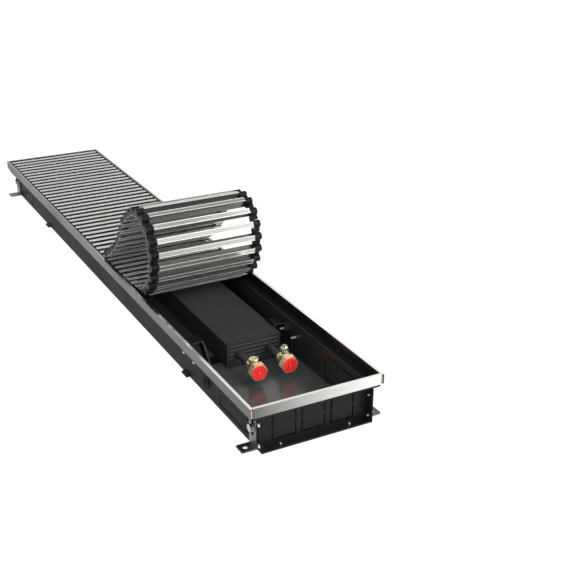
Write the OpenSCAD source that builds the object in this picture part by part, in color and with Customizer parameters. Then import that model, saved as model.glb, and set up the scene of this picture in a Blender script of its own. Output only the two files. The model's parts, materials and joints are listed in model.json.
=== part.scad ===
// Trench convector heater that stands in a floor duct, with a roll-up grille rolled part way back.
// X runs across the trench, +Y to the far end and +Z up. The near end has the water connections.
// The origin is under the middle of the casing, on the floor of the duct.

/* [Trench] */
// Number of slats in the grille, which sets the length of the trench
slat_count = 61; // [56:1:76]
// Width over the frame
trench_w = 256; // [250:1:300]
// Height from the casing floor to the top of the frame
trench_h = 90; // [88:1:120]
// Thickness of the casing sheet
sheet_t = 1.2; // [1:0.1:1.6]
// Distance of the casing walls inside the edge of the frame
wall_inset = 20.5; // [20:0.5:24]
// Distance of the end plates behind the ends of the casing
end_recess = 20; // [16:1:20]

/* [Frame] */
// Width of the rim seen from above
rim_w = 5.5; // [5:0.5:6]
// Height of the aluminium frame
frame_h = 19; // [19:0.5:21]
// Wall of the frame's outer leg and top
frame_t = 1.6; // [1.2:0.1:1.8]
// Height of the folded edge under the frame
lip_h = 4.5; // [3:0.5:6]

/* [Grille] */
// Distance from one slat to the next
slat_pitch = 24.25; // [24:0.05:25]
// Width of a slat's flanges
slat_w = 11; // [10:0.5:11]
// Height of a slat
slat_h = 17.5; // [17:0.5:17.5]
// Thickness of a slat's web
web_t = 2.2; // [1.6:0.1:3]
// Length of the plastic link under each end of a slat
link_len = 16.6; // [14:0.2:18]
// Gap between the frame and the ends of the slats
slat_gap = 3.5; // [3:0.5:5]

/* [Roll] */
// Links that only start to lift
lift_links = 3; // [2:1:4]
// Turn of each of those links in degrees
lift_turn = 2; // [1:0.5:3]
// Links up the front of the roll
front_links = 7; // [6:1:8]
// Turn of each of those links in degrees
front_turn = 15; // [14:0.5:16]
// Links over the crown of the roll
crown_links = 4; // [3:1:4]
// Turn of each of those links in degrees
crown_turn = 22.5; // [20:0.5:23]
// Links down the back of the roll
back_links = 4; // [4:1:5]
// Turn of each of those links in degrees
back_turn = 9.5; // [8:0.5:10]
// Backward turn of each of the last links in degrees
landing_turn = 6.5; // [6:0.5:7]

/* [Exchanger] */
// Width of the fin pack
pack_w = 114; // [100:1:114]
// Distance of the fin pack to the right of the middle
pack_offset = 24; // [20:1:24]
// Distance from the near end to the fin pack
pack_start = 289; // [286:1:320]
// Distance from the fin pack to the far end
pack_far_gap = 75; // [72:1:120]
// Height of the fin pack
pack_h = 49; // [46:1:50]
// Distance from one fin to the next
fin_pitch = 5; // [4:0.5:8]
// Thickness of a fin
fin_t = 0.4; // [0.3:0.1:0.6]
// Outer radius of the water tubes
tube_r = 7.5; // [6:0.5:8]
// Distance between the two water tubes
tube_spacing = 64; // [60:1:66]

/* [Connections] */
// Radius of the face of a red cap
cap_r = 14.2; // [13:0.2:15]
// Distance from the near end to the face of the caps
cap_face_at = 201; // [190:1:206]
// Width of a union nut across its flats
nut_af = 32; // [30:1:34]
// Radius of the knob on the air vent
vent_r = 9; // [8:0.5:9.5]

/* [Feet] */
// Width of a foot bracket along the trench
foot_w = 25; // [22:1:26]
// Distance from an end to the middle of a foot bracket
foot_at = 28.5; // [28.5:0.5:34]
// Reach of a foot past the edge of the frame
foot_reach = 8; // [6:1:14]
// Thickness of a foot bracket
foot_t = 2.5; // [2:0.5:3]

/* [Hidden] */
$fn = 48;
rolled_links = 24;

// Overrun of every cut past the face that it opens
over = 1;
// Clearance between pieces that lie beside each other
ease = 0.3;
// Radial clearance of a turning pin in its bore
pin_ease = 0.05;

// Grille
end_gap = 22.5;
slat_len = trench_w - 2 * rim_w - 2 * slat_gap;
slat_drop = 0.5;
slat_top = trench_h - slat_drop;
flange_t = 1.8;
flange_chamfer = 0.4;
trench_l = 2 * end_gap + (slat_count - 1) * slat_pitch;
laid_count = slat_count - rolled_links;
half_l = trench_l / 2;

// Links of the grille
hinge_depth = 4.5;
knuckle_r = 3.9;
link_pin_r = 1.6;
knob_r = 7.5;
link_gap = 0.2;
link_tip = 0.6;
arm_gap = 0.4;
arm_drop = 2.1;
seat_gap = 0.05;
link_start = slat_len / 2 - link_len + link_gap;
link_end = slat_len / 2 - link_tip;
link_mid = (link_start + link_end) / 2;
landing_links = rolled_links - lift_links - front_links - crown_links - back_links;

// Casing and frame
wall_x = trench_w / 2 - wall_inset;
ledge_z = trench_h - frame_h;
ledge_inset = 1;
ledge_x = trench_w / 2 - ledge_inset;
rim_inner = trench_w / 2 - rim_w;
inner_leg_t = 1.2;
strip_gap = 1;
key_t = 2.3;
key_h = 14;
key_leg = 28;
key_ease = 0.2;
key_inset = frame_t + key_ease;

// Side and end panels that knock out
panel_slot = 2.5;
panel_web = 4;
side_panel_from = 52;
side_panel_len = 110;
side_panel_z = 10;
side_panel_h = 47;
end_panel_w = 46.4;
end_panel_pitch = 56.3;
end_panel_z = 8;
end_panel_h = 54;
end_panel_count = 3;
emboss = 0.8;
panel_border = panel_slot + emboss;

// Screws of the casing
screw_r = 2;
screw_head_r = 3.6;
screw_head_h = 1.8;
screw_len = 5;
end_screw_at = 10;
end_screw_zs = [10, 50];
floor_screw_x = 67;
stud_at = 274;
cradle_bolt_at = 320;
side_bolt_z = 42;
cradle_bolt_r = 2.5;
cradle_bolt_len = 11;

// Cable grommet
grommet_at = 217;
grommet_z = 29.5;
grommet_r = 15;
grommet_groove_r = 12;
grommet_hole_r = 5;
grommet_lip = 2;

// Exchanger
pack_z = 3;
pack_end = trench_l - pack_far_gap;
pack_len = pack_end - pack_start;
pack_top = pack_z + pack_h;
pack_x = pack_offset - pack_w / 2;
tube_z = pack_z + pack_h / 2;
tube_xs = [pack_offset - tube_spacing / 2, pack_offset + tube_spacing / 2];
tube_wall = 1;
fin_ease = 0.1;
fin_hole_r = tube_r + fin_ease;
fin_count = floor(pack_len / fin_pitch) - 1;
end_sheet_t = 1.5;
bead_count = 5;
bead_r = 1.4;
bead_margin = 6;
sheet_tab_h = 1.6;
sheet_tab_w = 14;
sheet_tab_x = 31;
bend_lead = 5;
bend_from = pack_end + bend_lead;
cradle_t = 1.4;
cradle_w = 28;
cradle_z = 57;
cradle_fold_x = -69;
cradle_foot_x = -56;
cradle_tab_h = 20;
cradle_at = 328;
cradle_count = 3;

// Connections, measured back from the face of the caps
cap_face_t = 2.4;
cap_shank_len = 6;
cap_shank_wall = 2;
cap_rim_h = 1;
cap_rim_w = 1.8;
cap_ring_r = 9.4;
cap_boss_r = 4;
nut_from = cap_face_t;
nut_len = 11.5;
nut_end = nut_from + nut_len;
nut_bore_r = 11.5;
nut_shoulder_t = 2;
nut_chamfer = 1.2;
neck_r = 8;
neck_flange_t = 2;
neck_gap = 2;
neck_from = nut_end - nut_shoulder_t - ease - neck_flange_t;
body_from = nut_end + neck_gap;
body_len = 19;
body_r = 10;
body_end = body_from + body_len;
collar_r = 9.2;
collar_len = 6;
union_end = body_end + collar_len;
union_bore_r = 6;
socket_len = 8;
boss_at = body_from + body_len / 2;
boss_r = 9.3;
boss_chamfer = 0.8;
left_boss_h = 19.5;
right_boss_h = 13.5;
tube_from = cap_face_at + union_end - socket_len;
vent_nut_r = 7;
vent_nut_h = 3;
vent_stem_r = 2.5;
vent_flutes = 16;
vent_flute_r = 1.2;

// Feet
foot_bolt_r = 4;
foot_hole_r = 4.5;
foot_bolt_drop = 33;
foot_bolt_z = ledge_z - foot_bolt_drop;
foot_top_gap = 5;
foot_leg_h = ledge_z - foot_top_gap;
foot_slot_end = 6;
foot_slot_high = foot_leg_h - foot_slot_end;
foot_slot_below = 12;
foot_slot_low = foot_bolt_z - foot_slot_below;
foot_bolt_head_r = 7.5;
foot_bolt_head_h = 5;
foot_washer_r = 8;
foot_washer_t = 1.6;
foot_nut_h = 5;
foot_hole_inset = 12;
foot_corner_r = 3;
foot_x = wall_x + ease;
foot_edge = trench_w / 2 + foot_reach;
washer_gap = 0.2;
washer_x = foot_x + foot_t + washer_gap;
head_x = washer_x + foot_washer_t;
nut_x = wall_x - sheet_t - foot_nut_h;
lug_at = 295;
lug_w = 24;
lug_h = 5;
lug_reach = 7;

// Outline in X and Z drawn along Y, from a start to a length
module along_y(start, len) {
    translate([0, start + len, 0])
    rotate([90, 0, 0])
    linear_extrude(len)
    children();
}

// Outline in Y and Z drawn along X, from a start to a length
module along_x(start, len) {
    translate([start, 0, 0])
    rotate([90, 0, 90])
    linear_extrude(len)
    children();
}

// Rectangle given by its two corners
module rect(x0, y0, x1, y1) {
    translate([x0, y0])
    square([x1 - x0, y1 - y0]);
}

// Places what is measured from the near end
module from_near_end() {
    translate([0, -half_l, 0])
    children();
}

// Places what is measured from the far end, as its mirror image
module from_far_end() {
    mirror([0, 1, 0])
    from_near_end()
    children();
}

module at_both_ends() {
    from_near_end() children();
    from_far_end() children();
}

module on_both_sides() {
    children();
    mirror([1, 0, 0]) children();
}

// Casing

module pan_section() {
    rect(-wall_x, 0, wall_x, sheet_t);
    rect(-wall_x, 0, -wall_x + sheet_t, ledge_z);
    rect(wall_x - sheet_t, 0, wall_x, ledge_z);
}

module flange_section() {
    rect(wall_x - sheet_t, ledge_z - sheet_t, ledge_x, ledge_z);
    rect(ledge_x - sheet_t, ledge_z - lip_h, ledge_x, ledge_z);
}

// Slot round a panel, left open at four webs that hold it
module knock_out_slot(w, h) {
    difference() {
        square([w, h]);
        translate([panel_slot, panel_slot])
        square([w - 2 * panel_slot, h - 2 * panel_slot]);
        translate([(w - panel_web) / 2, -over])
        square([panel_web, h + 2 * over]);
        translate([-over, (h - panel_web) / 2])
        square([w + 2 * over, panel_web]);
    }
}

module side_knock_out() {
    along_x(wall_x - sheet_t - over, sheet_t + 2 * over)
    translate([side_panel_from, side_panel_z])
    knock_out_slot(side_panel_len, side_panel_h);
}

module side_hole(at, z, r) {
    translate([wall_x - sheet_t - over, at, z])
    rotate([0, 90, 0])
    cylinder(h = sheet_t + 2 * over, r = r);
}

module wall_holes() {
    for (z = end_screw_zs)
        side_hole(end_screw_at, z, screw_r);
    side_hole(stud_at, side_bolt_z, cradle_bolt_r);
    side_hole(foot_at, foot_bolt_z, foot_hole_r);
    side_knock_out();
}

// Cuts the tops of the walls back under the end plate's flange and behind its lip
module wall_notch() {
    translate([-trench_w / 2, -over, ledge_z - sheet_t])
        cube([trench_w, end_recess + ease + over, sheet_t + over]);
    translate([-trench_w / 2, -over, ledge_z - lip_h - ease])
        cube([trench_w, 2 * sheet_t + ease + over, lip_h + over]);
}

// Places of the cradles under the fin pack, from the near end
function cradle_y(i) =
    i == 0 ? cradle_at
    : i == cradle_count - 1 ? trench_l - cradle_at
    : cradle_at + i * (trench_l - 2 * cradle_at) / (cradle_count - 1);

function cradle_bolt_y(i) = cradle_y(i) - cradle_at + cradle_bolt_at;

module casing_pan() {
    color([0.1, 0.1, 0.11])
    difference() {
        union() {
            along_y(-half_l, trench_l) pan_section();
            on_both_sides()
                along_y(-half_l + end_recess + ease, trench_l - 2 * end_recess - 2 * ease)
                flange_section();
        }
        on_both_sides() {
            at_both_ends() wall_holes();
            from_near_end()
                for (i = [0 : cradle_count - 1])
                    side_hole(cradle_bolt_y(i), side_bolt_z, cradle_bolt_r);
        }
        at_both_ends() wall_notch();
        mirror([1, 0, 0])
            from_near_end()
            side_hole(grommet_at, grommet_z, grommet_groove_r + pin_ease);
        on_both_sides()
            at_both_ends()
            translate([floor_screw_x, end_screw_at, -over])
            cylinder(h = sheet_t + 2 * over, r = screw_r);
    }
}

module end_panels() {
    for (i = [0 : end_panel_count - 1])
        translate([(i - (end_panel_count - 1) / 2) * end_panel_pitch - end_panel_w / 2, end_panel_z])
        children();
}

// Folded plate that closes an end of the casing, behind a recess
module end_plate() {
    w = wall_x - sheet_t - ease;
    plate_y = end_recess - sheet_t;
    flange_w = ledge_x - rim_w;
    color([0.11, 0.11, 0.12])
    difference() {
        union() {
            along_y(plate_y, sheet_t)
                rect(-w, sheet_t, w, ledge_z);
            along_y(plate_y - emboss, sheet_t)
                end_panels()
                rect(panel_border, panel_border, end_panel_w - panel_border, end_panel_h - panel_border);
            along_y(sheet_t, plate_y) {
                rect(-w, sheet_t, w, 2 * sheet_t);
                rect(-w, sheet_t, -w + sheet_t, ledge_z - lip_h - sheet_t);
                rect(w - sheet_t, sheet_t, w, ledge_z - lip_h - sheet_t);
                rect(-flange_w, ledge_z - sheet_t, flange_w, ledge_z);
            }
            along_y(sheet_t, sheet_t)
                rect(-flange_w, ledge_z - lip_h, flange_w, ledge_z);
        }
        along_y(plate_y - emboss - over, sheet_t + 2 * over)
            end_panels()
            knock_out_slot(end_panel_w, end_panel_h);
        for (side = [-1, 1]) {
            for (z = end_screw_zs)
                translate([side * wall_x, end_screw_at, z])
                rotate([0, 90, 0])
                cylinder(h = 4 * screw_len, r = screw_r, center = true);
            translate([side * floor_screw_x, end_screw_at, 0])
                cylinder(h = 2 * screw_len, r = screw_r);
        }
    }
}

// Screw through a side wall from outside
module casing_screw() {
    rotate([0, -90, 0])
        cylinder(h = screw_len, r = screw_r - pin_ease);
    rotate([0, 90, 0])
        cylinder(h = screw_head_h, r1 = screw_head_r, r2 = screw_r);
}

module casing_screws() {
    color("silver") {
        on_both_sides()
            at_both_ends() {
                for (z = end_screw_zs)
                    translate([wall_x, end_screw_at, z])
                    casing_screw();
                translate([floor_screw_x, end_screw_at, 0])
                    cylinder(h = screw_len, r = screw_r - pin_ease);
                translate([wall_x, stud_at, side_bolt_z])
                    wall_bolt();
            }
    }
}

// Bolt through a side wall, with its thread on the inside
module wall_bolt() {
    translate([-cradle_bolt_len, 0, 0])
        rotate([0, 90, 0])
        cylinder(h = cradle_bolt_len, r = cradle_bolt_r - pin_ease);
    rotate([0, 90, 0])
        cylinder(h = screw_head_h, r1 = 2 * cradle_bolt_r, r2 = cradle_bolt_r);
}

module cradle_bolts() {
    color("silver")
    on_both_sides()
        from_near_end()
        for (i = [0 : cradle_count - 1])
            translate([wall_x, cradle_bolt_y(i), side_bolt_z])
            wall_bolt();
}

module cable_grommet() {
    color([0.03, 0.03, 0.03])
    from_near_end()
        translate([-wall_x + sheet_t / 2, grommet_at, grommet_z])
        rotate([0, 90, 0])
        rotate_extrude()
        polygon([
            [grommet_hole_r, -sheet_t / 2 - grommet_lip],
            [grommet_r - grommet_lip, -sheet_t / 2 - grommet_lip],
            [grommet_r, -sheet_t / 2],
            [grommet_groove_r, -sheet_t / 2],
            [grommet_groove_r, sheet_t / 2],
            [grommet_r, sheet_t / 2],
            [grommet_r - grommet_lip, sheet_t / 2 + grommet_lip],
            [grommet_hole_r, sheet_t / 2 + grommet_lip]]);
}

module edge_lugs() {
    color([0.05, 0.05, 0.05])
    on_both_sides()
        at_both_ends()
        along_y(lug_at, lug_w)
        polygon([
            [wall_x, 0],
            [wall_x + lug_reach, 0],
            [wall_x + lug_reach, sheet_t],
            [wall_x + sheet_t, lug_h],
            [wall_x, lug_h]]);
}

// Frame

module profile_section() {
    difference() {
        square([rim_w, frame_h]);
        translate([frame_t, -over])
        square([rim_w - frame_t - inner_leg_t, frame_h - frame_t + over]);
    }
}

module side_profile() {
    color([0.75, 0.75, 0.74])
    difference() {
        along_y(-half_l, trench_l)
            translate([-trench_w / 2, ledge_z])
            profile_section();
        at_both_ends()
            translate([-rim_inner - inner_leg_t - ease, key_inset - ease, ledge_z - over])
            cube([inner_leg_t + 2 * ease, key_t + 2 * ease, key_h + strip_gap + ease + over]);
    }
}

module end_profile() {
    color([0.8, 0.8, 0.79])
    along_x(-rim_inner + key_ease, 2 * (rim_inner - key_ease))
        translate([0, ledge_z])
        profile_section();
}

module corner_key() {
    translate([-trench_w / 2 + key_inset, key_inset, ledge_z + strip_gap]) {
        cube([key_leg, key_t, key_h]);
        cube([key_t, key_leg, key_h]);
    }
}

module frame_corner_keys() {
    color("gray")
    on_both_sides()
        at_both_ends()
        corner_key();
}

module slat_bed_strips() {
    color([0.04, 0.04, 0.04])
    on_both_sides()
        translate([wall_x + strip_gap, -half_l + end_recess + ease, ledge_z])
        cube([
            rim_inner - wall_x - 2 * strip_gap,
            trench_l - 2 * end_recess - 2 * ease,
            frame_h - slat_drop - slat_h - ease]);
}

// Grille

// I-shaped section of a slat, from the top of the slat down
module slat_section() {
    polygon([
        [-slat_w / 2 + flange_chamfer, 0],
        [slat_w / 2 - flange_chamfer, 0],
        [slat_w / 2, -flange_chamfer],
        [slat_w / 2, -flange_t],
        [web_t / 2, -flange_t],
        [web_t / 2, flange_t - slat_h],
        [slat_w / 2, flange_t - slat_h],
        [slat_w / 2, -slat_h],
        [-slat_w / 2, -slat_h],
        [-slat_w / 2, flange_t - slat_h],
        [-web_t / 2, flange_t - slat_h],
        [-web_t / 2, -flange_t],
        [-slat_w / 2, -flange_t],
        [-slat_w / 2, -flange_chamfer]]);
}

module slat_bar() {
    color([0.78, 0.77, 0.74])
    difference() {
        along_x(-slat_len / 2, slat_len) slat_section();
        on_both_sides()
            translate([slat_len / 2 - link_len, -slat_w, -slat_h - over])
            cube([link_len + over, 2 * slat_w, slat_h - flange_t + over]);
    }
}

// Round knob of a link, under the flange of the slat
module knob_section() {
    knob_z = knob_r - slat_h + link_gap;
    translate([0, knob_z]) circle(r = knob_r);
    rect(-knob_r, knob_z, knob_r, -arm_drop);
    rect(-slat_w / 2, knob_z, slat_w / 2, -flange_t - seat_gap);
}

// Arm of a link, with a knuckle round the hinge line
module arm_section(direction) {
    hinge_y = direction * slat_pitch / 2;
    translate([hinge_y, -hinge_depth]) circle(r = knuckle_r);
    rect(min(0, hinge_y), -hinge_depth - knuckle_r, max(0, hinge_y), -arm_drop);
}

// Link under the right end of a slat. The front arm points to the near end and carries the pin.
module link(front, rear) {
    difference() {
        union() {
            along_x(link_start, link_end - link_start) knob_section();
            if (front)
                along_x(link_start, link_mid - arm_gap / 2 - link_start) arm_section(-1);
            if (rear)
                along_x(link_mid + arm_gap / 2, link_end - link_mid - arm_gap / 2) arm_section(1);
        }
        if (rear)
            translate([link_mid - over, slat_pitch / 2, -hinge_depth])
            rotate([0, 90, 0])
            cylinder(h = link_end - link_mid + 2 * over, r = link_pin_r + pin_ease);
    }
    if (front)
        translate([link_mid - arm_gap, -slat_pitch / 2, -hinge_depth])
        rotate([0, 90, 0])
        cylinder(h = link_end - link_mid + arm_gap - link_gap, r = link_pin_r);
}

module link_pair(front, rear) {
    color([0.07, 0.07, 0.075])
    on_both_sides() link(front, rear);
}

// Laid slat, counted from the roll towards the far end
module laid(i) {
    translate([0, -half_l + end_gap + (rolled_links + i) * slat_pitch, slat_top])
    children();
}

module laid_slats() {
    for (i = [0 : laid_count - 1])
        laid(i) slat_bar();
}

module laid_links() {
    for (i = [0 : laid_count - 1])
        laid(i) link_pair(true, i < laid_count - 1);
}

// Turn of hinge k, in degrees from the slat before it
function turn(k) =
    k <= lift_links ? lift_turn
    : k <= lift_links + front_links ? front_turn
    : k <= lift_links + front_links + crown_links ? crown_turn
    : k <= rolled_links - landing_links ? back_turn
    : -landing_turn;

// Direction of slat k, in degrees from lying flat towards the near end
function heading(k) = k == 0 ? 0 : heading(k - 1) + turn(k);

function first_hinge() = [-half_l + end_gap + (rolled_links - 1 / 2) * slat_pitch, slat_top - hinge_depth];

function hinge(k) =
    k == 1 ? first_hinge()
    : hinge(k - 1) + slat_pitch * [-cos(heading(k - 1)), sin(heading(k - 1))];

module rolled_slat(k) {
    translate([0, hinge(k)[0], hinge(k)[1]])
    rotate([-heading(k), 0, 0])
    translate([0, -slat_pitch / 2, hinge_depth]) {
        slat_bar();
        link_pair(k < rolled_links, true);
    }
}

// Exchanger

module pack_outline(hole_r) {
    difference() {
        translate([pack_x, pack_z]) square([pack_w, pack_h]);
        for (x = tube_xs)
            translate([x, tube_z]) circle(r = hole_r);
    }
}

module fin_pack() {
    color([0.08, 0.08, 0.09])
    from_near_end()
        for (i = [1 : fin_count])
            along_y(pack_start + i * fin_pitch - fin_t / 2, fin_t)
            pack_outline(fin_hole_r);
}

module end_sheet() {
    along_y(0, end_sheet_t) pack_outline(fin_hole_r);
    for (i = [1 : bead_count])
        intersection() {
            translate([pack_x + bead_margin, 0, pack_z + i * pack_h / (bead_count + 1)])
                rotate([0, 90, 0])
                cylinder(h = pack_w - 2 * bead_margin, r = bead_r);
            translate([0, -bead_r, 0])
                along_y(0, bead_r + end_sheet_t / 2)
                pack_outline(fin_hole_r + bead_r);
        }
}

// Sheet between two fins, with two tabs above the fins
module middle_sheet(at) {
    from_near_end() {
        along_y(at, end_sheet_t) pack_outline(fin_hole_r);
        for (x = [pack_offset - sheet_tab_x, pack_offset + sheet_tab_x])
            translate([x - sheet_tab_w / 2, at, pack_top - over])
            cube([sheet_tab_w, end_sheet_t, sheet_tab_h + over]);
    }
}

// Place over a cradle that falls between two fins
function sheet_y(i) =
    pack_start
    + floor((cradle_y(i) + cradle_w / 3 - pack_start) / fin_pitch) * fin_pitch
    + (fin_pitch - end_sheet_t) / 2;

module exchanger_sheets() {
    color([0.09, 0.09, 0.1]) {
        from_near_end()
            translate([0, pack_start, 0])
            end_sheet();
        from_near_end()
            translate([0, pack_end, 0])
            mirror([0, 1, 0])
            end_sheet();
        for (i = [0 : cradle_count - 1])
            middle_sheet(sheet_y(i));
    }
}

module tube_ring(r) {
    translate([tube_spacing / 2, 0]) circle(r = r);
}

// Supply and return tube in one piece, with the return bend at the far end
module exchanger_tube() {
    color([0.08, 0.08, 0.09])
    from_near_end() {
        for (x = tube_xs)
            translate([x, tube_from, tube_z])
            rotate([-90, 0, 0])
            difference() {
                cylinder(h = bend_from - tube_from, r = tube_r);
                translate([0, 0, -over])
                    cylinder(h = bend_from - tube_from + 2 * over, r = tube_r - tube_wall);
            }
        translate([pack_offset, bend_from, tube_z])
            rotate_extrude(angle = 180)
            difference() {
                tube_ring(tube_r);
                tube_ring(tube_r - tube_wall);
            }
    }
}

// Folded strap that carries the exchanger between the two walls
module cradle_outline() {
    inner = wall_x - sheet_t;
    right_x = pack_x + pack_w + ease;
    rect(-inner, cradle_z - cradle_tab_h, -inner + cradle_t, cradle_z);
    rect(-inner, cradle_z - cradle_t, cradle_fold_x, cradle_z);
    polygon([
        [cradle_fold_x - cradle_t, cradle_z],
        [cradle_fold_x, cradle_z],
        [cradle_foot_x + cradle_t, pack_z],
        [cradle_foot_x - cradle_t, pack_z - cradle_t],
        [cradle_fold_x - 2 * cradle_t, cradle_z - cradle_t]]);
    rect(cradle_foot_x - cradle_t, pack_z - cradle_t, right_x + cradle_t, pack_z);
    rect(right_x, pack_z - cradle_t, right_x + cradle_t, cradle_z);
    rect(right_x, cradle_z - cradle_t, inner, cradle_z);
    rect(inner - cradle_t, cradle_z - cradle_tab_h, inner, cradle_z);
}

module exchanger_cradles() {
    color([0.06, 0.06, 0.065])
    from_near_end()
        difference() {
            for (i = [0 : cradle_count - 1])
                along_y(cradle_y(i) - cradle_w / 2, cradle_w)
                cradle_outline();
            for (i = [0 : cradle_count - 1])
                for (side = [-1, 1])
                    translate([side * wall_x, cradle_bolt_y(i), side_bolt_z])
                    rotate([0, 90, 0])
                    cylinder(h = 4 * (sheet_t + cradle_t), r = cradle_bolt_r, center = true);
        }
}

// Connections

module at_connection(i) {
    from_near_end()
    translate([tube_xs[i], cap_face_at, tube_z])
    rotate([-90, 0, 0])
    children();
}

// Upright boss on top of a union, with a chamfered end
module union_boss(h) {
    translate([0, 0, boss_at])
    rotate([90, 0, 0]) {
        cylinder(h = h - boss_chamfer, r = boss_r);
        translate([0, 0, h - boss_chamfer])
            cylinder(h = boss_chamfer, r1 = boss_r, r2 = boss_r - boss_chamfer);
    }
}

// Brass body that is soldered to a water tube, with a flanged neck for the nut
module union_body(boss_h) {
    color([0.8, 0.62, 0.2])
    difference() {
        union() {
            translate([0, 0, neck_from])
                cylinder(h = neck_flange_t, r = nut_bore_r - ease);
            translate([0, 0, neck_from])
                cylinder(h = body_from - neck_from + over, r = neck_r);
            translate([0, 0, body_from])
                cylinder(h = body_len, r = body_r);
            translate([0, 0, body_end - over])
                cylinder(h = collar_len + over, r = collar_r);
            union_boss(boss_h);
        }
        cylinder(h = union_end + over, r = union_bore_r);
        translate([0, 0, union_end - socket_len])
            cylinder(h = socket_len + over, r = tube_r + pin_ease);
    }
}

module left_union() {
    at_connection(0) union_body(left_boss_h);
}

module right_union() {
    at_connection(1) union_body(right_boss_h);
}

// Hexagon nut with a chamfered front, drawn up against the flange of the neck
module union_nut() {
    corner_r = nut_af / 2 / cos(30);
    color([0.82, 0.64, 0.22])
    difference() {
        intersection() {
            translate([0, 0, nut_from])
                cylinder(h = nut_len, r = corner_r, $fn = 6);
            union() {
                translate([0, 0, nut_from])
                    cylinder(h = nut_chamfer, r1 = nut_af / 2 - nut_chamfer / 2, r2 = corner_r);
                translate([0, 0, nut_from + nut_chamfer])
                    cylinder(h = nut_len, r = corner_r + over);
            }
        }
        translate([0, 0, nut_from - over])
            cylinder(h = nut_len - nut_shoulder_t + over, r = nut_bore_r);
        cylinder(h = nut_end + over, r = neck_r + ease);
    }
}

module left_union_nut() {
    at_connection(0) union_nut();
}

module right_union_nut() {
    at_connection(1) union_nut();
}

module cap_groove(outer_r, inner_r) {
    translate([0, 0, -over])
    difference() {
        cylinder(h = cap_rim_h + over, r = outer_r);
        cylinder(h = cap_rim_h + over, r = inner_r);
    }
}

// Protective cap, with its face at the start and a hollow shank in the nut
module cap() {
    shank_r = nut_bore_r - ease;
    color([0.85, 0.08, 0.08])
    difference() {
        union() {
            cylinder(h = cap_face_t, r = cap_r);
            translate([0, 0, cap_face_t - cap_rim_h])
                cylinder(h = cap_shank_len + cap_rim_h, r = shank_r);
        }
        translate([0, 0, cap_face_t])
            cylinder(h = cap_shank_len + over, r = shank_r - cap_shank_wall);
        cap_groove(cap_r - cap_rim_w, cap_ring_r);
        cap_groove(cap_ring_r - cap_rim_w, cap_boss_r);
    }
}

module left_cap() {
    at_connection(0) cap();
}

module right_cap() {
    at_connection(1) cap();
}

module at_vent() {
    from_near_end()
    translate([tube_xs[1], cap_face_at + boss_at, tube_z + right_boss_h])
    children();
}

module vent_body() {
    color("silver")
    at_vent() {
        cylinder(h = vent_nut_h, r = vent_nut_r, $fn = 6);
        cylinder(h = vent_nut_h + vent_r, r = vent_stem_r);
    }
}

// Fluted round knob that opens the air vent
module vent_knob() {
    color("gainsboro")
    at_vent()
        translate([0, 0, vent_nut_h + ease])
        difference() {
            intersection() {
                translate([0, 0, vent_r * 3 / 4]) sphere(r = vent_r);
                cylinder(h = 2 * vent_r, r = vent_r);
            }
            translate([0, 0, -over])
                cylinder(h = vent_r + over, r = vent_stem_r + pin_ease);
            for (i = [0 : vent_flutes - 1])
                rotate([0, 0, i * 360 / vent_flutes])
                translate([vent_r + vent_flute_r / 3, 0, -over])
                cylinder(h = 2 * vent_r + 2 * over, r = vent_flute_r);
        }
}

// Feet

module foot_slot() {
    for (z = [foot_slot_low, foot_slot_high])
        translate([0, 0, z])
        rotate([0, 90, 0])
        cylinder(h = foot_edge, r = foot_hole_r);
    translate([0, -foot_hole_r, foot_slot_low])
        cube([foot_edge, 2 * foot_hole_r, foot_slot_high - foot_slot_low]);
}

// Galvanised angle bracket at the right of the near end
module foot() {
    hole_x = foot_edge - foot_hole_inset;
    color([0.62, 0.62, 0.6])
    from_near_end()
        translate([0, foot_at, 0])
        difference() {
            union() {
                translate([foot_x, -foot_w / 2, 0]) cube([foot_t, foot_w, foot_leg_h]);
                translate([foot_x, -foot_w / 2, 0])
                    cube([foot_edge - foot_x - foot_corner_r, foot_w, foot_t]);
                translate([foot_edge - foot_corner_r - over, -foot_w / 2 + foot_corner_r, 0])
                    cube([foot_corner_r + over, foot_w - 2 * foot_corner_r, foot_t]);
                for (side = [-1, 1])
                    translate([foot_edge - foot_corner_r, side * (foot_w / 2 - foot_corner_r), 0])
                    cylinder(h = foot_t, r = foot_corner_r);
            }
            intersection() {
                foot_slot();
                translate([foot_x - over, -foot_w, foot_t])
                    cube([foot_t + 2 * over, 2 * foot_w, foot_leg_h]);
            }
            translate([hole_x, 0, -over])
                cylinder(h = foot_t + 2 * over, r = foot_hole_r);
        }
}

module foot_near_right() {
    foot();
}

module foot_near_left() {
    mirror([1, 0, 0]) foot();
}

module foot_far_right() {
    mirror([0, 1, 0]) foot();
}

module foot_far_left() {
    mirror([1, 0, 0]) mirror([0, 1, 0]) foot();
}

module at_foot_bolts() {
    on_both_sides()
    at_both_ends()
    translate([0, foot_at, foot_bolt_z])
    rotate([0, 90, 0])
    children();
}

module foot_bolts() {
    color("silver")
    at_foot_bolts() {
        translate([0, 0, nut_x - over])
            cylinder(h = head_x - nut_x + over, r = foot_bolt_r);
        translate([0, 0, head_x])
            cylinder(h = foot_bolt_head_h, r = foot_bolt_head_r, $fn = 6);
    }
}

module foot_washers() {
    color("silver")
    at_foot_bolts()
        translate([0, 0, washer_x])
        difference() {
            cylinder(h = foot_washer_t, r = foot_washer_r);
            translate([0, 0, -over])
                cylinder(h = foot_washer_t + 2 * over, r = foot_bolt_r + pin_ease);
        }
}

module foot_nuts() {
    color("silver")
    at_foot_bolts()
        translate([0, 0, nut_x])
        difference() {
            cylinder(h = foot_nut_h, r = foot_bolt_head_r, $fn = 6);
            translate([0, 0, -over])
                cylinder(h = foot_nut_h + 2 * over, r = foot_bolt_r + pin_ease);
        }
}

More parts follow.
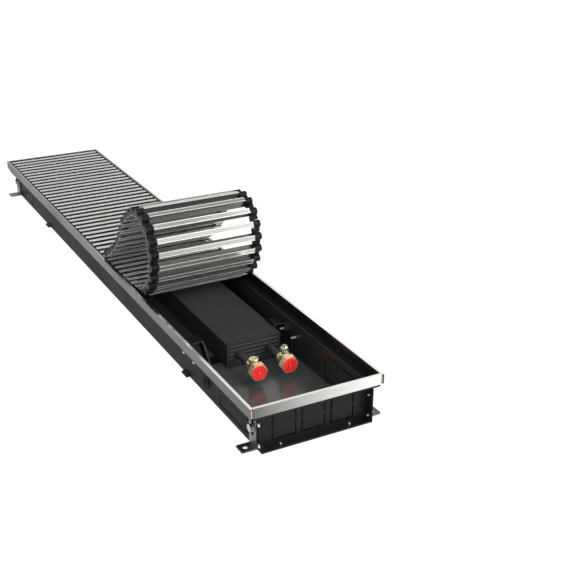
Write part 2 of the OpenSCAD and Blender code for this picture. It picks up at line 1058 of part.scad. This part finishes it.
casing_pan();
from_near_end() end_plate();  // near_end_plate
from_far_end() end_plate();  // far_end_plate
side_profile();  // left_frame_profile
mirror([1, 0, 0]) side_profile();  // right_frame_profile
from_near_end() end_profile();  // near_frame_profile
from_far_end() end_profile();  // far_frame_profile
frame_corner_keys();
slat_bed_strips();
laid_slats();
laid_links();
fin_pack();
exchanger_sheets();
exchanger_tube();
exchanger_cradles();
cradle_bolts();
left_union();
right_union();
left_union_nut();
right_union_nut();
left_cap();
right_cap();
vent_body();
vent_knob();
cable_grommet();
foot_near_left();
foot_near_right();
foot_far_left();
foot_far_right();
foot_bolts();
foot_washers();
foot_nuts();
casing_screws();
edge_lugs();
for (k = [1 : rolled_links])
    rolled_slat(k);
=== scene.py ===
"""Looks of a trench convector heater with a roll-up grille, dressed over its CAD frame."""

import json
import math

import bpy
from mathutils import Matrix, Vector

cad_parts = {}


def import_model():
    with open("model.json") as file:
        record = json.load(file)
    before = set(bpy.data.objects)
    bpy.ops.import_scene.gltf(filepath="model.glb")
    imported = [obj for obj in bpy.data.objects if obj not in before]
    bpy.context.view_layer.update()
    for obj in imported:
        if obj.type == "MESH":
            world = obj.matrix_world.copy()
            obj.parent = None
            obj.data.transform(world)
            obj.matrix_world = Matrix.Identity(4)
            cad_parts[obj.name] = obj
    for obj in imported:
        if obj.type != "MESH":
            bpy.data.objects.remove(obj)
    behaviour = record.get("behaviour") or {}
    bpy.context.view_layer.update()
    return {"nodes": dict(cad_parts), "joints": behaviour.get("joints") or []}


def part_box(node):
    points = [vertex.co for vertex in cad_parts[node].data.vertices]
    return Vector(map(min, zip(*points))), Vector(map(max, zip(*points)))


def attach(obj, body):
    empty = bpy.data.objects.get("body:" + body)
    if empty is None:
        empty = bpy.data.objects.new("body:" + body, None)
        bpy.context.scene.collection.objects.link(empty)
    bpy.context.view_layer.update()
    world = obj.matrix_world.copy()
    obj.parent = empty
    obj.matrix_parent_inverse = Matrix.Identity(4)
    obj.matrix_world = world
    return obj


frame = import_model()
NODES = frame["nodes"]

# Sizes that the CAD model gives, in metres
HALF_LENGTH = 0.75
LINK_START = 0.1026
LINK_LENGTH = 0.0166
SLAT_COUNT = 61
ROLLED_COUNT = 24
SLAT_PITCH = 0.02425
SLAT_LENGTH = 0.238
SLAT_WIDTH = 0.011
SLAT_HEIGHT = 0.0175
SLAT_TOP = 0.0895
FIRST_SLAT = 0.0225
FLANGE = 0.0018
HINGE_DEPTH = 0.0045
WALL = 0.1075
SHEET = 0.0012
PANEL_SLOT = 0.0025
PANEL_FROM = 0.052
PANEL_LENGTH = 0.11
PANEL_LOW = 0.01
PANEL_HIGH = 0.057
END_RECESS = 0.02
END_PANEL_WIDTH = 0.0464
END_PANEL_PITCH = 0.0563
END_PANEL_LOW = 0.008
END_PANEL_HIGH = 0.062
CAP_FACE = -0.549
CAP_RIM_HEIGHT = 0.001
FIN_PITCH = 0.005
FIN = 0.0004

# Turn from the last slat but one of the roll to the last
FREE_END_TURN = math.radians(6.5)

# Sizes of the scene's own thin pieces: strips of painted highlight on the slats' edges and fine cuts
# round the panels
EDGE_INSET = 0.0004
EDGE_WIDTH = 0.0012
EDGE_DEPTH = 0.0003
EDGE_PROUD = 0.00005
PANEL_CUT = 0.0008

# Limits that tell a face from its neighbours: under the first an upward face is the casing's
# floor, and the others are how far past a panel, a link's start or a flange a face may lie
FLOOR_LIMIT = 0.003
PANEL_EASE = 0.0004
LINK_EASE = 0.0002
FLANGE_EASE = 0.00002

# Stretch along the walls on which the photograph shows no bright bolt heads
PLAIN_WALL = (-0.3, 0.6)

# A face counts as facing a way when its normal has this share of that way, and as turned
# aside from it when it has less than the second share
UPRIGHT = 0.9
ASIDE = 0.5


class Shader:
    """A material's node tree, with short calls for the nodes that the looks need."""

    def __init__(self, name):
        self.material = bpy.data.materials.new(name)
        self.material.use_nodes = True
        self.tree = self.material.node_tree
        self.bsdf = self.tree.nodes["Principled BSDF"]
        self.place = self.node("ShaderNodeTexCoord").outputs["Object"]

    def node(self, kind, **values):
        made = self.tree.nodes.new(kind)
        for key, value in values.items():
            setattr(made, key, value)
        return made

    def link(self, source, target):
        self.tree.links.new(source, target)

    def set(self, **sockets):
        for key, value in sockets.items():
            self.bsdf.inputs[key.replace("_", " ")].default_value = value
        return self

    def stretched(self, scale):
        mapping = self.node("ShaderNodeMapping")
        mapping.inputs["Scale"].default_value = scale
        self.link(self.place, mapping.inputs["Vector"])
        return mapping.outputs["Vector"]

    def noise(self, scale, detail=3.0, stretch=None, roughness=0.5):
        made = self.node("ShaderNodeTexNoise")
        made.inputs["Scale"].default_value = scale
        made.inputs["Detail"].default_value = detail
        made.inputs["Roughness"].default_value = roughness
        source = self.place if stretch is None else self.stretched(stretch)
        self.link(source, made.inputs["Vector"])
        return made.outputs["Fac"]

    def cells(self, scale):
        made = self.node("ShaderNodeTexVoronoi")
        made.inputs["Scale"].default_value = scale
        self.link(self.place, made.inputs["Vector"])
        return made.outputs["Color"]

    def ramp(self, value, stops):
        made = self.node("ShaderNodeValToRGB")
        ramp = made.color_ramp
        while len(ramp.elements) < len(stops):
            ramp.elements.new(0.5)
        for element, (position, color) in zip(ramp.elements, stops):
            element.position = position
            element.color = (*color, 1.0)
        self.link(value, made.inputs["Fac"])
        return made.outputs["Color"]

    def range(self, value, low, high, start=0.3, end=0.7):
        made = self.node("ShaderNodeMapRange")
        for key, number in zip(("From Min", "From Max", "To Min", "To Max"), (start, end, low, high)):
            made.inputs[key].default_value = number
        self.link(value, made.inputs["Value"])
        return made.outputs["Result"]

    def faded(self, color, axis, start, end, low, high):
        """The color scaled from low to high between two places along an axis."""
        split = self.node("ShaderNodeSeparateXYZ")
        self.link(self.place, split.inputs[0])
        scaled = self.node("ShaderNodeVectorMath", operation="SCALE")
        self.link(color, scaled.inputs[0])
        self.link(self.range(split.outputs[axis], low, high, start, end), scaled.inputs["Scale"])
        return scaled.outputs[0]

    def bump(self, height, depth, strength=1.0, before=None):
        made = self.node("ShaderNodeBump")
        made.inputs["Strength"].default_value = strength
        made.inputs["Distance"].default_value = depth
        self.link(height, made.inputs["Height"])
        if before is not None:
            self.link(before, made.inputs["Normal"])
        return made.outputs["Normal"]

    def soft_edges(self, radius):
        made = self.node("ShaderNodeBevel", samples=4)
        made.inputs["Radius"].default_value = radius
        return made.outputs["Normal"]

    def color(self, source):
        self.link(source, self.bsdf.inputs["Base Color"])
        return self

    def roughness(self, source):
        self.link(source, self.bsdf.inputs["Roughness"])
        return self

    def normal(self, source):
        self.link(source, self.bsdf.inputs["Normal"])
        return self


def tint(color, factor):
    return tuple(c * factor for c in color)


def drawn_aluminium(name, color, along, roughness, shade_fade=None, metallic=1.0):
    """Anodised extrusion with die lines along its length, and, if asked, painted shade that darkens
    it towards one end.
    """
    shader = Shader(name)
    stretch = tuple(1.2 if axis == along else 700.0 for axis in "xyz")
    lines = shader.noise(1.0, 4.0, stretch)
    cloud = shader.noise(9.0, 2.0)
    drawn = shader.ramp(lines, [(0.25, tint(color, 0.88)), (0.75, tint(color, 1.06))])
    shader.color(drawn if shade_fade is None else shader.faded(drawn, *shade_fade))
    shader.roughness(shader.range(cloud, roughness - 0.05, roughness + 0.07))
    shader.normal(shader.bump(lines, 0.00004, 0.5, shader.soft_edges(0.0003)))
    return shader.set(Metallic=metallic).material


def coated_steel(name, color, roughness, grain=0.00003, shine=0.5):
    """Powder coat with a fine orange peel and a little dust."""
    shader = Shader(name)
    peel = shader.noise(900.0, 2.0)
    cloud = shader.noise(7.0, 5.0, roughness=0.6)
    shader.color(shader.ramp(cloud, [(0.3, tint(color, 0.85)), (0.72, tint(color, 1.25))]))
    shader.roughness(shader.range(cloud, roughness - 0.05, roughness + 0.08))
    shader.normal(shader.bump(peel, grain, 0.6, shader.soft_edges(0.0005)))
    return shader.set(Specular_IOR_Level=shine).material


def moulded_plastic(name, color, roughness, soft=0.0004, shine=0.5):
    shader = Shader(name)
    grain = shader.noise(1600.0, 2.0)
    cloud = shader.noise(60.0, 3.0)
    shader.color(shader.ramp(cloud, [(0.3, tint(color, 0.8)), (0.7, tint(color, 1.2))]))
    shader.roughness(shader.range(cloud, roughness - 0.06, roughness + 0.08))
    shader.normal(shader.bump(grain, 0.00002, 0.5, shader.soft_edges(soft)))
    return shader.set(Specular_IOR_Level=shine).material


def turned_metal(name, color, roughness, soft=0.0003, metallic=1.0):
    shader = Shader(name)
    marks = shader.noise(500.0, 4.0)
    cloud = shader.noise(80.0, 3.0)
    shader.color(shader.ramp(cloud, [(0.3, tint(color, 0.9)), (0.7, tint(color, 1.0))]))
    shader.roughness(shader.range(marks, roughness - 0.06, roughness + 0.1))
    shader.normal(shader.bump(marks, 0.00002, 0.1, shader.soft_edges(soft)))
    return shader.set(Metallic=metallic).material


def galvanised_steel(name, color, roughness):
    """Zinc coat with its spangle of dull and bright crystals."""
    shader = Shader(name)
    spangle = shader.cells(260.0)
    cloud = shader.noise(45.0, 4.0)
    shader.color(shader.ramp(spangle, [(0.1, tint(color, 0.72)), (0.9, tint(color, 1.12))]))
    shader.roughness(shader.range(spangle, roughness - 0.08, roughness + 0.12, 0.1, 0.9))
    shader.normal(shader.bump(cloud, 0.00015, 0.4, shader.soft_edges(0.0004)))
    return shader.set(Metallic=1.0).material


# Painted shade on the frame, darker towards its far end and towards the left: axis, two places along
# it, and the scale of the color at each
RIM_PAINTED_SHADE = ("Y", -0.5, 0.05, 1.0, 0.22)
SIDE_PAINTED_SHADE = ("Y", -0.1, 0.72, 1.0, 0.5)
END_PAINTED_SHADE = ("X", -0.12, 0.1, 0.18, 1.0)

# Painted shade: the slats' webs and inner faces are a darker copy of the aluminium of their outer
# faces
SLAT_WEB_PAINTED_SHADE = drawn_aluminium("slat_aluminium", (0.3, 0.297, 0.285), "x", 0.26, metallic=0.85)
SLAT_FACE = drawn_aluminium("slat_face", (0.55, 0.545, 0.52), "x", 0.24, metallic=0.78)
# Painted highlight: near-white strips that stand in for light caught on the slats' edges
SLAT_EDGE_HIGHLIGHT = drawn_aluminium("slat_edge_painted_highlight", (0.98, 0.97, 0.95), "x", 0.4, metallic=0.3)
RIM_ALONG_X = drawn_aluminium("rim_aluminium_end", (1.0, 0.98, 0.95), "x", 0.16, RIM_PAINTED_SHADE)
RIM_ALONG_Y = drawn_aluminium("rim_aluminium_side", (1.0, 0.98, 0.95), "y", 0.16, RIM_PAINTED_SHADE)
LEG_ALONG_X = drawn_aluminium("leg_aluminium_end", (0.9, 0.88, 0.85), "x", 0.3, END_PAINTED_SHADE)
# Painted shade: the outer faces of the frame's long sides are a dark copy of the aluminium of its
# ends
LEG_SIDE_PAINTED_SHADE = drawn_aluminium("leg_aluminium_side_painted_shade", (0.134, 0.131, 0.126), "y", 0.34, SIDE_PAINTED_SHADE)
CASING = coated_steel("casing_black", (0.016, 0.016, 0.017), 0.3)
CASING_OUTSIDE = coated_steel("casing_outside", (0.009, 0.009, 0.0095), 0.45, shine=0.05)
# Painted light: the pan's floor is a lighter, shinier copy of the casing's black
CASING_FLOOR_PAINTED_LIGHT = coated_steel("casing_floor", (0.058, 0.058, 0.058), 0.22, shine=0.8)
# Painted shade: the recessed end plates are a darker, duller black than the casing
END_PLATE_PAINTED_SHADE = coated_steel("end_plate_black", (0.01, 0.01, 0.0105), 0.36, shine=0.16)
# Painted shade: the slots' faces and the strips in them are a dull black for the dark seen through
# the slots
SLOT_PAINTED_SHADE = coated_steel("slot_painted_shade", (0.004, 0.004, 0.004), 0.6, shine=0.0)
EXCHANGER = coated_steel("exchanger_black", (0.026, 0.026, 0.027), 0.42)
# Painted shade: the cradles are blacker and duller than the casing; painted highlight: their faces
# towards the near end are grey
CRADLE_PAINTED_SHADE = coated_steel("cradle_black", (0.005, 0.005, 0.005), 0.5, shine=0.1)
CRADLE_EDGE_HIGHLIGHT = coated_steel("cradle_edge_painted_highlight", (0.06, 0.06, 0.06), 0.35)
LINK = moulded_plastic("link_plastic", (0.01, 0.01, 0.011), 0.36, shine=0.12)
RUBBER = moulded_plastic("strip_rubber", (0.008, 0.008, 0.008), 0.6, shine=0.05)
CAP = moulded_plastic("cap_red", (0.93, 0.018, 0.016), 0.3, 0.0002)
# Painted highlight: the raised rim, ring and boss of each cap are a lighter red than its face
CAP_RIM_HIGHLIGHT = moulded_plastic("cap_rim_painted_highlight", (1.0, 0.09, 0.07), 0.3, 0.0002)
BRASS = turned_metal("brass", (1.0, 0.95, 0.6), 0.18, metallic=0.85)
# The nuts are brass with an orange tint, which is a painted reflection of the red caps beside them
BRASS_NUT_RED_REFLECTION = turned_metal("brass_nut_painted_red_reflection", (1.0, 0.69, 0.4), 0.24, metallic=0.6)
CHROME = turned_metal("vent_chrome", (0.7, 0.7, 0.69), 0.16)
ZINC = turned_metal("bolt_zinc", (0.95, 0.95, 0.94), 0.3, metallic=0.7)
FOOT_ZINC = turned_metal("foot_bolt_zinc", (0.5, 0.5, 0.49), 0.3)
FOOT = galvanised_steel("foot_zinc", (0.22, 0.22, 0.214), 0.42)


def dress(material, *names):
    """Gives CAD nodes one material each, in every slot."""
    for name in names:
        mesh = NODES[name].data
        mesh.materials.clear()
        mesh.materials.append(material)
        mesh.polygons.foreach_set("material_index", [0] * len(mesh.polygons))


dress(ZINC, "frame_corner_keys")
dress(FOOT_ZINC, "foot_bolts", "foot_washers", "foot_nuts")
dress(RUBBER, "slat_bed_strips", "cable_grommet")
dress(LINK, "laid_links", "edge_lugs")
dress(EXCHANGER, "fin_pack", "exchanger_sheets", "exchanger_tube")
dress(BRASS, "left_union", "right_union")
dress(BRASS_NUT_RED_REFLECTION, "left_union_nut", "right_union_nut")
dress(CHROME, "vent_body", "vent_knob")
dress(FOOT, "foot_near_left", "foot_near_right", "foot_far_left", "foot_far_right")


def dress_by_face(materials, pick, *names):
    """Gives CAD nodes several materials: the test says by its number which one a face takes."""
    for name in names:
        mesh = NODES[name].data
        mesh.materials.clear()
        for material in materials:
            mesh.materials.append(material)
        for polygon in mesh.polygons:
            polygon.material_index = int(pick(polygon.center, polygon.normal))


def faces_up(center, normal):
    return normal.z > UPRIGHT


def faces_near_end(center, normal):
    return normal.y < -UPRIGHT


def casing_part(center, normal):
    """1 for the floor, 2 for the outside of the walls, 3 for the panels' slots and 0 elsewhere."""
    if normal.z > UPRIGHT and center.z < FLOOR_LIMIT:
        return 1
    if abs(normal.x) > UPRIGHT and abs(center.x) > WALL - SHEET / 4:
        return 2
    at_panel = PANEL_LOW - PANEL_EASE < center.z < PANEL_HIGH + PANEL_EASE
    in_wall = abs(center.x) > WALL - SHEET and at_panel
    return 3 if in_wall and abs(normal.x) < ASIDE else 0


def head_on_plain_wall(center, normal):
    return abs(center.x) > WALL and PLAIN_WALL[0] < center.y < PLAIN_WALL[1]


def outer_face(depth, upward):
    """Top of a slat's upper flange or underside of its lower one, by depth below the top."""
    if depth < FLANGE / 2:
        return upward > UPRIGHT
    return depth > SLAT_HEIGHT - FLANGE / 2 and upward < -UPRIGHT


def outer_face_of_laid_slat(center, normal):
    return outer_face(SLAT_TOP - center.z, normal.z)


def raised_on_cap(center, normal):
    """The rim, ring and boss that stand up from the cap's face, which take the painted highlight."""
    return center.y < CAP_FACE + CAP_RIM_HEIGHT / 2 and faces_near_end(center, normal)


def in_slot_of_end_panel(center, normal):
    reach = END_PANEL_PITCH + END_PANEL_WIDTH / 2 + PANEL_EASE
    at_panel = END_PANEL_LOW - PANEL_EASE < center.z < END_PANEL_HIGH + PANEL_EASE
    return abs(center.x) < reach and at_panel and abs(normal.y) < ASIDE


dress_by_face([LEG_SIDE_PAINTED_SHADE, RIM_ALONG_Y], faces_up, "left_frame_profile", "right_frame_profile")
dress_by_face([LEG_ALONG_X, RIM_ALONG_X], faces_up, "near_frame_profile", "far_frame_profile")
dress_by_face([CASING, CASING_FLOOR_PAINTED_LIGHT, CASING_OUTSIDE, SLOT_PAINTED_SHADE], casing_part, "casing_pan")
dress_by_face([END_PLATE_PAINTED_SHADE, SLOT_PAINTED_SHADE], in_slot_of_end_panel, "near_end_plate", "far_end_plate")
dress_by_face([CRADLE_PAINTED_SHADE, CRADLE_EDGE_HIGHLIGHT], faces_near_end, "exchanger_cradles")
dress_by_face([ZINC, CASING_OUTSIDE], head_on_plain_wall, "cradle_bolts", "casing_screws")
# Laid slats: painted shade on all but the outer faces
dress_by_face([SLAT_WEB_PAINTED_SHADE, SLAT_FACE], outer_face_of_laid_slat, "laid_slats")
dress_by_face([CAP, CAP_RIM_HIGHLIGHT], raised_on_cap, "left_cap", "right_cap")

# Rolled slats: an aluminium bar with a plastic link under each end, and painted shade on all of the
# bar but its outer faces

HINGES = {
    joint["child"]: Vector(joint["pos_m"])
    for joint in frame["joints"]
    if joint["child"].startswith("slat_")
}


def slat_up(along):
    """Way from a slat's underside to its top, where along leads from its hinge to the next."""
    return Vector((0.0, along.z, -along.y))


def rolled_headings():
    """Direction of each rolled slat in the plane of Y and Z, from the hinge behind it to the next."""
    headings = {}
    for name, hinge in HINGES.items():
        number = int(name.split("_")[1])
        following = HINGES.get(f"slat_{number + 1}")
        if following is None:
            before = HINGES[f"slat_{number - 1}"]
            last = (hinge - before).normalized()
            cos, sin = math.cos(FREE_END_TURN), math.sin(FREE_END_TURN)
            headings[number] = Vector((0.0, last.y * cos + last.z * sin, last.z * cos - last.y * sin))
        else:
            headings[number] = (following - hinge).normalized()
    return headings


def dress_rolled_slats():
    for number, along in rolled_headings().items():
        hinge = HINGES[f"slat_{number}"]
        up = slat_up(along)
        mesh = NODES[f"rolled_slat_{number}"].data
        mesh.materials.clear()
        for material in (SLAT_WEB_PAINTED_SHADE, LINK, SLAT_FACE):
            mesh.materials.append(material)
        for polygon in mesh.polygons:
            depth = HINGE_DEPTH - (polygon.center - hinge).dot(up)
            beyond_start = abs(polygon.center.x) > LINK_START - LINK_EASE
            if beyond_start and depth > FLANGE + FLANGE_EASE:
                polygon.material_index = 1
            else:
                polygon.material_index = 2 if outer_face(depth, polygon.normal.dot(up)) else 0


dress_rolled_slats()

# Fine pieces that only the picture needs

# Faces of a box whose corners are counted along X, then Y, then Z
BOX_FACES = ((0, 2, 3, 1), (4, 5, 7, 6), (0, 1, 5, 4), (2, 6, 7, 3), (0, 4, 6, 2), (1, 3, 7, 5))


def plates(name, boxes, material, body, place=tuple):
    """One object of thin boxes that rides on a body. Each has two corners, which place moves."""
    corners, faces = [], []
    for (x0, y0, z0), (x1, y1, z1) in boxes:
        first = len(corners)
        for z in (z0, z1):
            for y in (y0, y1):
                corners += [place((x0, y, z)), place((x1, y, z))]
        faces += [[first + corner for corner in face] for face in BOX_FACES]
    mesh = bpy.data.meshes.new(name)
    mesh.from_pydata(corners, [], faces)
    mesh.materials.append(material)
    made = bpy.data.objects.new(name, mesh)
    bpy.context.scene.collection.objects.link(made)
    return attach(made, body)


def fins_between():
    """Two more fins in each space of the fin pack."""
    low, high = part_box("fin_pack")
    boxes = []
    for i in range(round((high.y - low.y) / FIN_PITCH)):
        for share in (1, 2):
            at = low.y + (i + share / 3) * FIN_PITCH
            boxes.append(((low.x, at, low.z), (high.x, at + FIN, high.z)))
    return plates("fins_between", boxes, EXCHANGER, "trench")


def slot_strips(start, end, low, high):
    """Strips that narrow the slot round a panel to a fine cut, in the plane of the sheet."""
    width = PANEL_SLOT - PANEL_CUT
    return [
        ((start, low), (end, low + width)),
        ((start, high - width), (end, high)),
        ((start, low), (start + width, high)),
        ((end - width, low), (end, high)),
    ]


def on_side(side, a, b):
    """Two places on one side of the middle, the lower first."""
    return sorted((side * a, side * b))


def panel_slot_strips():
    """Sheet left standing in the slots of the panels, in the dull black of painted shade, so that a
    fine cut shows.
    """
    inset = SHEET / 20
    plate = HALF_LENGTH - END_RECESS
    panel = HALF_LENGTH - PANEL_FROM
    boxes = []
    for side in (-1, 1):
        x0, x1 = on_side(side, WALL - SHEET + inset, WALL - inset)
        y0, y1 = on_side(side, plate + inset, plate + SHEET - inset)
        for end in (-1, 1):
            near, far = on_side(end, panel, panel - PANEL_LENGTH)
            boxes += [((x0, *a), (x1, *b)) for a, b in slot_strips(near, far, PANEL_LOW, PANEL_HIGH)]
        for i in (-1, 0, 1):
            left = i * END_PANEL_PITCH - END_PANEL_WIDTH / 2
            right = left + END_PANEL_WIDTH
            strips = slot_strips(left, right, END_PANEL_LOW, END_PANEL_HIGH)
            boxes += [((a[0], y0, a[1]), (b[0], y1, b[1])) for a, b in strips]
    return plates("panel_slot_strips", boxes, SLOT_PAINTED_SHADE, "trench")


def edge_highlight_boxes(reach, low, high):
    """Strips of painted highlight on the edges of one flange of a slat. Y runs from the middle of the
    slat and Z from its top.
    """
    half = SLAT_WIDTH / 2 - EDGE_INSET
    spans = ((-half, EDGE_WIDTH - half), (half - EDGE_WIDTH, half))
    return [((-reach, start, low), (reach, end, high)) for start, end in spans]


def seated_on_slat(number, along):
    """Moves a corner, given from the middle of a slat's top, to that slat's place in the roll."""
    up = slat_up(along)
    top = HINGES[f"slat_{number}"] + along * SLAT_PITCH / 2 + up * HINGE_DEPTH
    return lambda corner: top + Vector((corner[0], 0.0, 0.0)) + along * corner[1] + up * corner[2]


def slat_edge_highlights():
    """Strips of painted highlight on the edges of all slats. Those of the lower flange show only in
    the roll.
    """
    bare_reach = SLAT_LENGTH / 2 - LINK_LENGTH
    upper = edge_highlight_boxes(SLAT_LENGTH / 2, -EDGE_DEPTH, EDGE_PROUD)
    lower = edge_highlight_boxes(bare_reach, -SLAT_HEIGHT - EDGE_PROUD, EDGE_DEPTH - SLAT_HEIGHT)
    for number, along in rolled_headings().items():
        on_slat = seated_on_slat(number, along)
        plates(f"rolled_slat_edge_highlights_{number}", upper + lower, SLAT_EDGE_HIGHLIGHT, f"slat_{number}", on_slat)
    laid = []
    for number in range(ROLLED_COUNT, SLAT_COUNT):
        shift = Vector((0.0, FIRST_SLAT - HALF_LENGTH + number * SLAT_PITCH, SLAT_TOP))
        laid += [(Vector(low) + shift, Vector(high) + shift) for low, high in upper]
    plates("laid_slat_edge_highlights", laid, SLAT_EDGE_HIGHLIGHT, "trench")


fins_between()
panel_slot_strips()
slat_edge_highlights()

# Studio: pale floor, soft lamps and the photograph's viewpoint

# Level of the studio's walls and ceiling by the height of a direction
SKY = [(0.0, 1.0), (0.48, 1.0), (0.6, 0.28), (1.0, 0.34)]

# Floor: its size and place, the grey that lights it, and the glow and grey that are seen
FLOOR_SIZE = 14.0
FLOOR_PLACE = (0.0, 0.0, -0.0005)
FLOOR_GREY = (0.6, 0.6, 0.6, 1.0)
FLOOR_GLOW = 0.94
FLOOR_SHADED = (0.2, 0.2, 0.2, 1.0)

# The photograph's viewpoint
CAMERA_PLACE = (-0.7613, -2.0318, 0.9468)
CAMERA_TURN = (65.951, -0.304, -28.338)
CAMERA_LENS = 65.38


def floor():
    """Pale floor, seen white by the camera and by metal, with the object's shadow on it."""
    bpy.ops.mesh.primitive_plane_add(size=FLOOR_SIZE, location=FLOOR_PLACE)
    plane = bpy.context.object
    plane.name = "studio_floor"
    shader = Shader("studio_floor")
    shader.set(Base_Color=FLOOR_GREY, Roughness=0.9, Specular_IOR_Level=0.0)
    glow = shader.node("ShaderNodeEmission")
    glow.inputs["Strength"].default_value = FLOOR_GLOW
    pale = shader.node("ShaderNodeBsdfDiffuse")
    pale.inputs["Color"].default_value = FLOOR_SHADED
    white = shader.node("ShaderNodeAddShader")
    shader.link(glow.outputs[0], white.inputs[0])
    shader.link(pale.outputs[0], white.inputs[1])
    rays = shader.node("ShaderNodeLightPath").outputs
    seen = rays["Is Camera Ray"]
    for kind in ("Is Glossy Ray", "Is Transmission Ray"):
        either = shader.node("ShaderNodeMath", operation="MAXIMUM")
        shader.link(seen, either.inputs[0])
        shader.link(rays[kind], either.inputs[1])
        seen = either.outputs[0]
    mix = shader.node("ShaderNodeMixShader")
    shader.link(seen, mix.inputs[0])
    shader.link(shader.bsdf.outputs[0], mix.inputs[1])
    shader.link(white.outputs[0], mix.inputs[2])
    shader.link(mix.outputs[0], shader.tree.nodes["Material Output"].inputs["Surface"])
    plane.data.materials.append(shader.material)


def lamp(name, location, aim, size, watts, reflected=True):
    data = bpy.data.lights.new(name, "AREA")
    data.shape = "RECTANGLE"
    data.size, data.size_y = size
    data.energy = watts
    made = bpy.data.objects.new(name, data)
    made.location = location
    made.rotation_euler = (Vector(aim) - Vector(location)).to_track_quat("-Z", "Y").to_euler()
    made.visible_glossy = reflected
    bpy.context.scene.collection.objects.link(made)


def world():
    """Studio that is white round the object and darkens overhead."""
    made = bpy.data.worlds.new("studio_world")
    made.use_nodes = True
    nodes, links = made.node_tree.nodes, made.node_tree.links
    direction = nodes.new("ShaderNodeSeparateXYZ")
    links.new(nodes.new("ShaderNodeTexCoord").outputs["Generated"], direction.inputs[0])
    height = nodes.new("ShaderNodeValToRGB")
    height.color_ramp.interpolation = "EASE"
    while len(height.color_ramp.elements) < len(SKY):
        height.color_ramp.elements.new(0.5)
    for element, (position, level) in zip(height.color_ramp.elements, SKY):
        element.position = position
        element.color = (level, level, level, 1.0)
    links.new(direction.outputs["Z"], height.inputs["Fac"])
    background = nodes["Background"]
    background.inputs["Strength"].default_value = 1.0
    links.new(height.outputs["Color"], background.inputs["Color"])
    bpy.context.scene.world = made


def camera():
    data = bpy.data.cameras.new("photo_camera")
    data.lens = CAMERA_LENS
    data.sensor_width = 36.0
    data.clip_start = 0.01
    made = bpy.data.objects.new("photo_camera", data)
    made.location = CAMERA_PLACE
    made.rotation_euler = [math.radians(a) for a in CAMERA_TURN]
    bpy.context.scene.collection.objects.link(made)
    bpy.context.scene.camera = made


floor()
lamp("key", (1.9, -2.3, 2.2), (0.0, -0.3, 0.0), (1.6, 1.6), 60.0)
lamp("fill", (-2.4, -1.2, 1.6), (0.0, -0.3, 0.05), (1.6, 1.6), 9.0, False)
lamp("front", (-0.5, -2.7, 1.3), (0.0, -0.4, 0.05), (1.2, 1.2), 26.0, False)
lamp("top", (0.0, 0.2, 2.8), (0.0, 0.0, 0.0), (2.4, 3.0), 20.0, False)
world()
camera()
bpy.context.scene.view_settings.view_transform = "Standard"
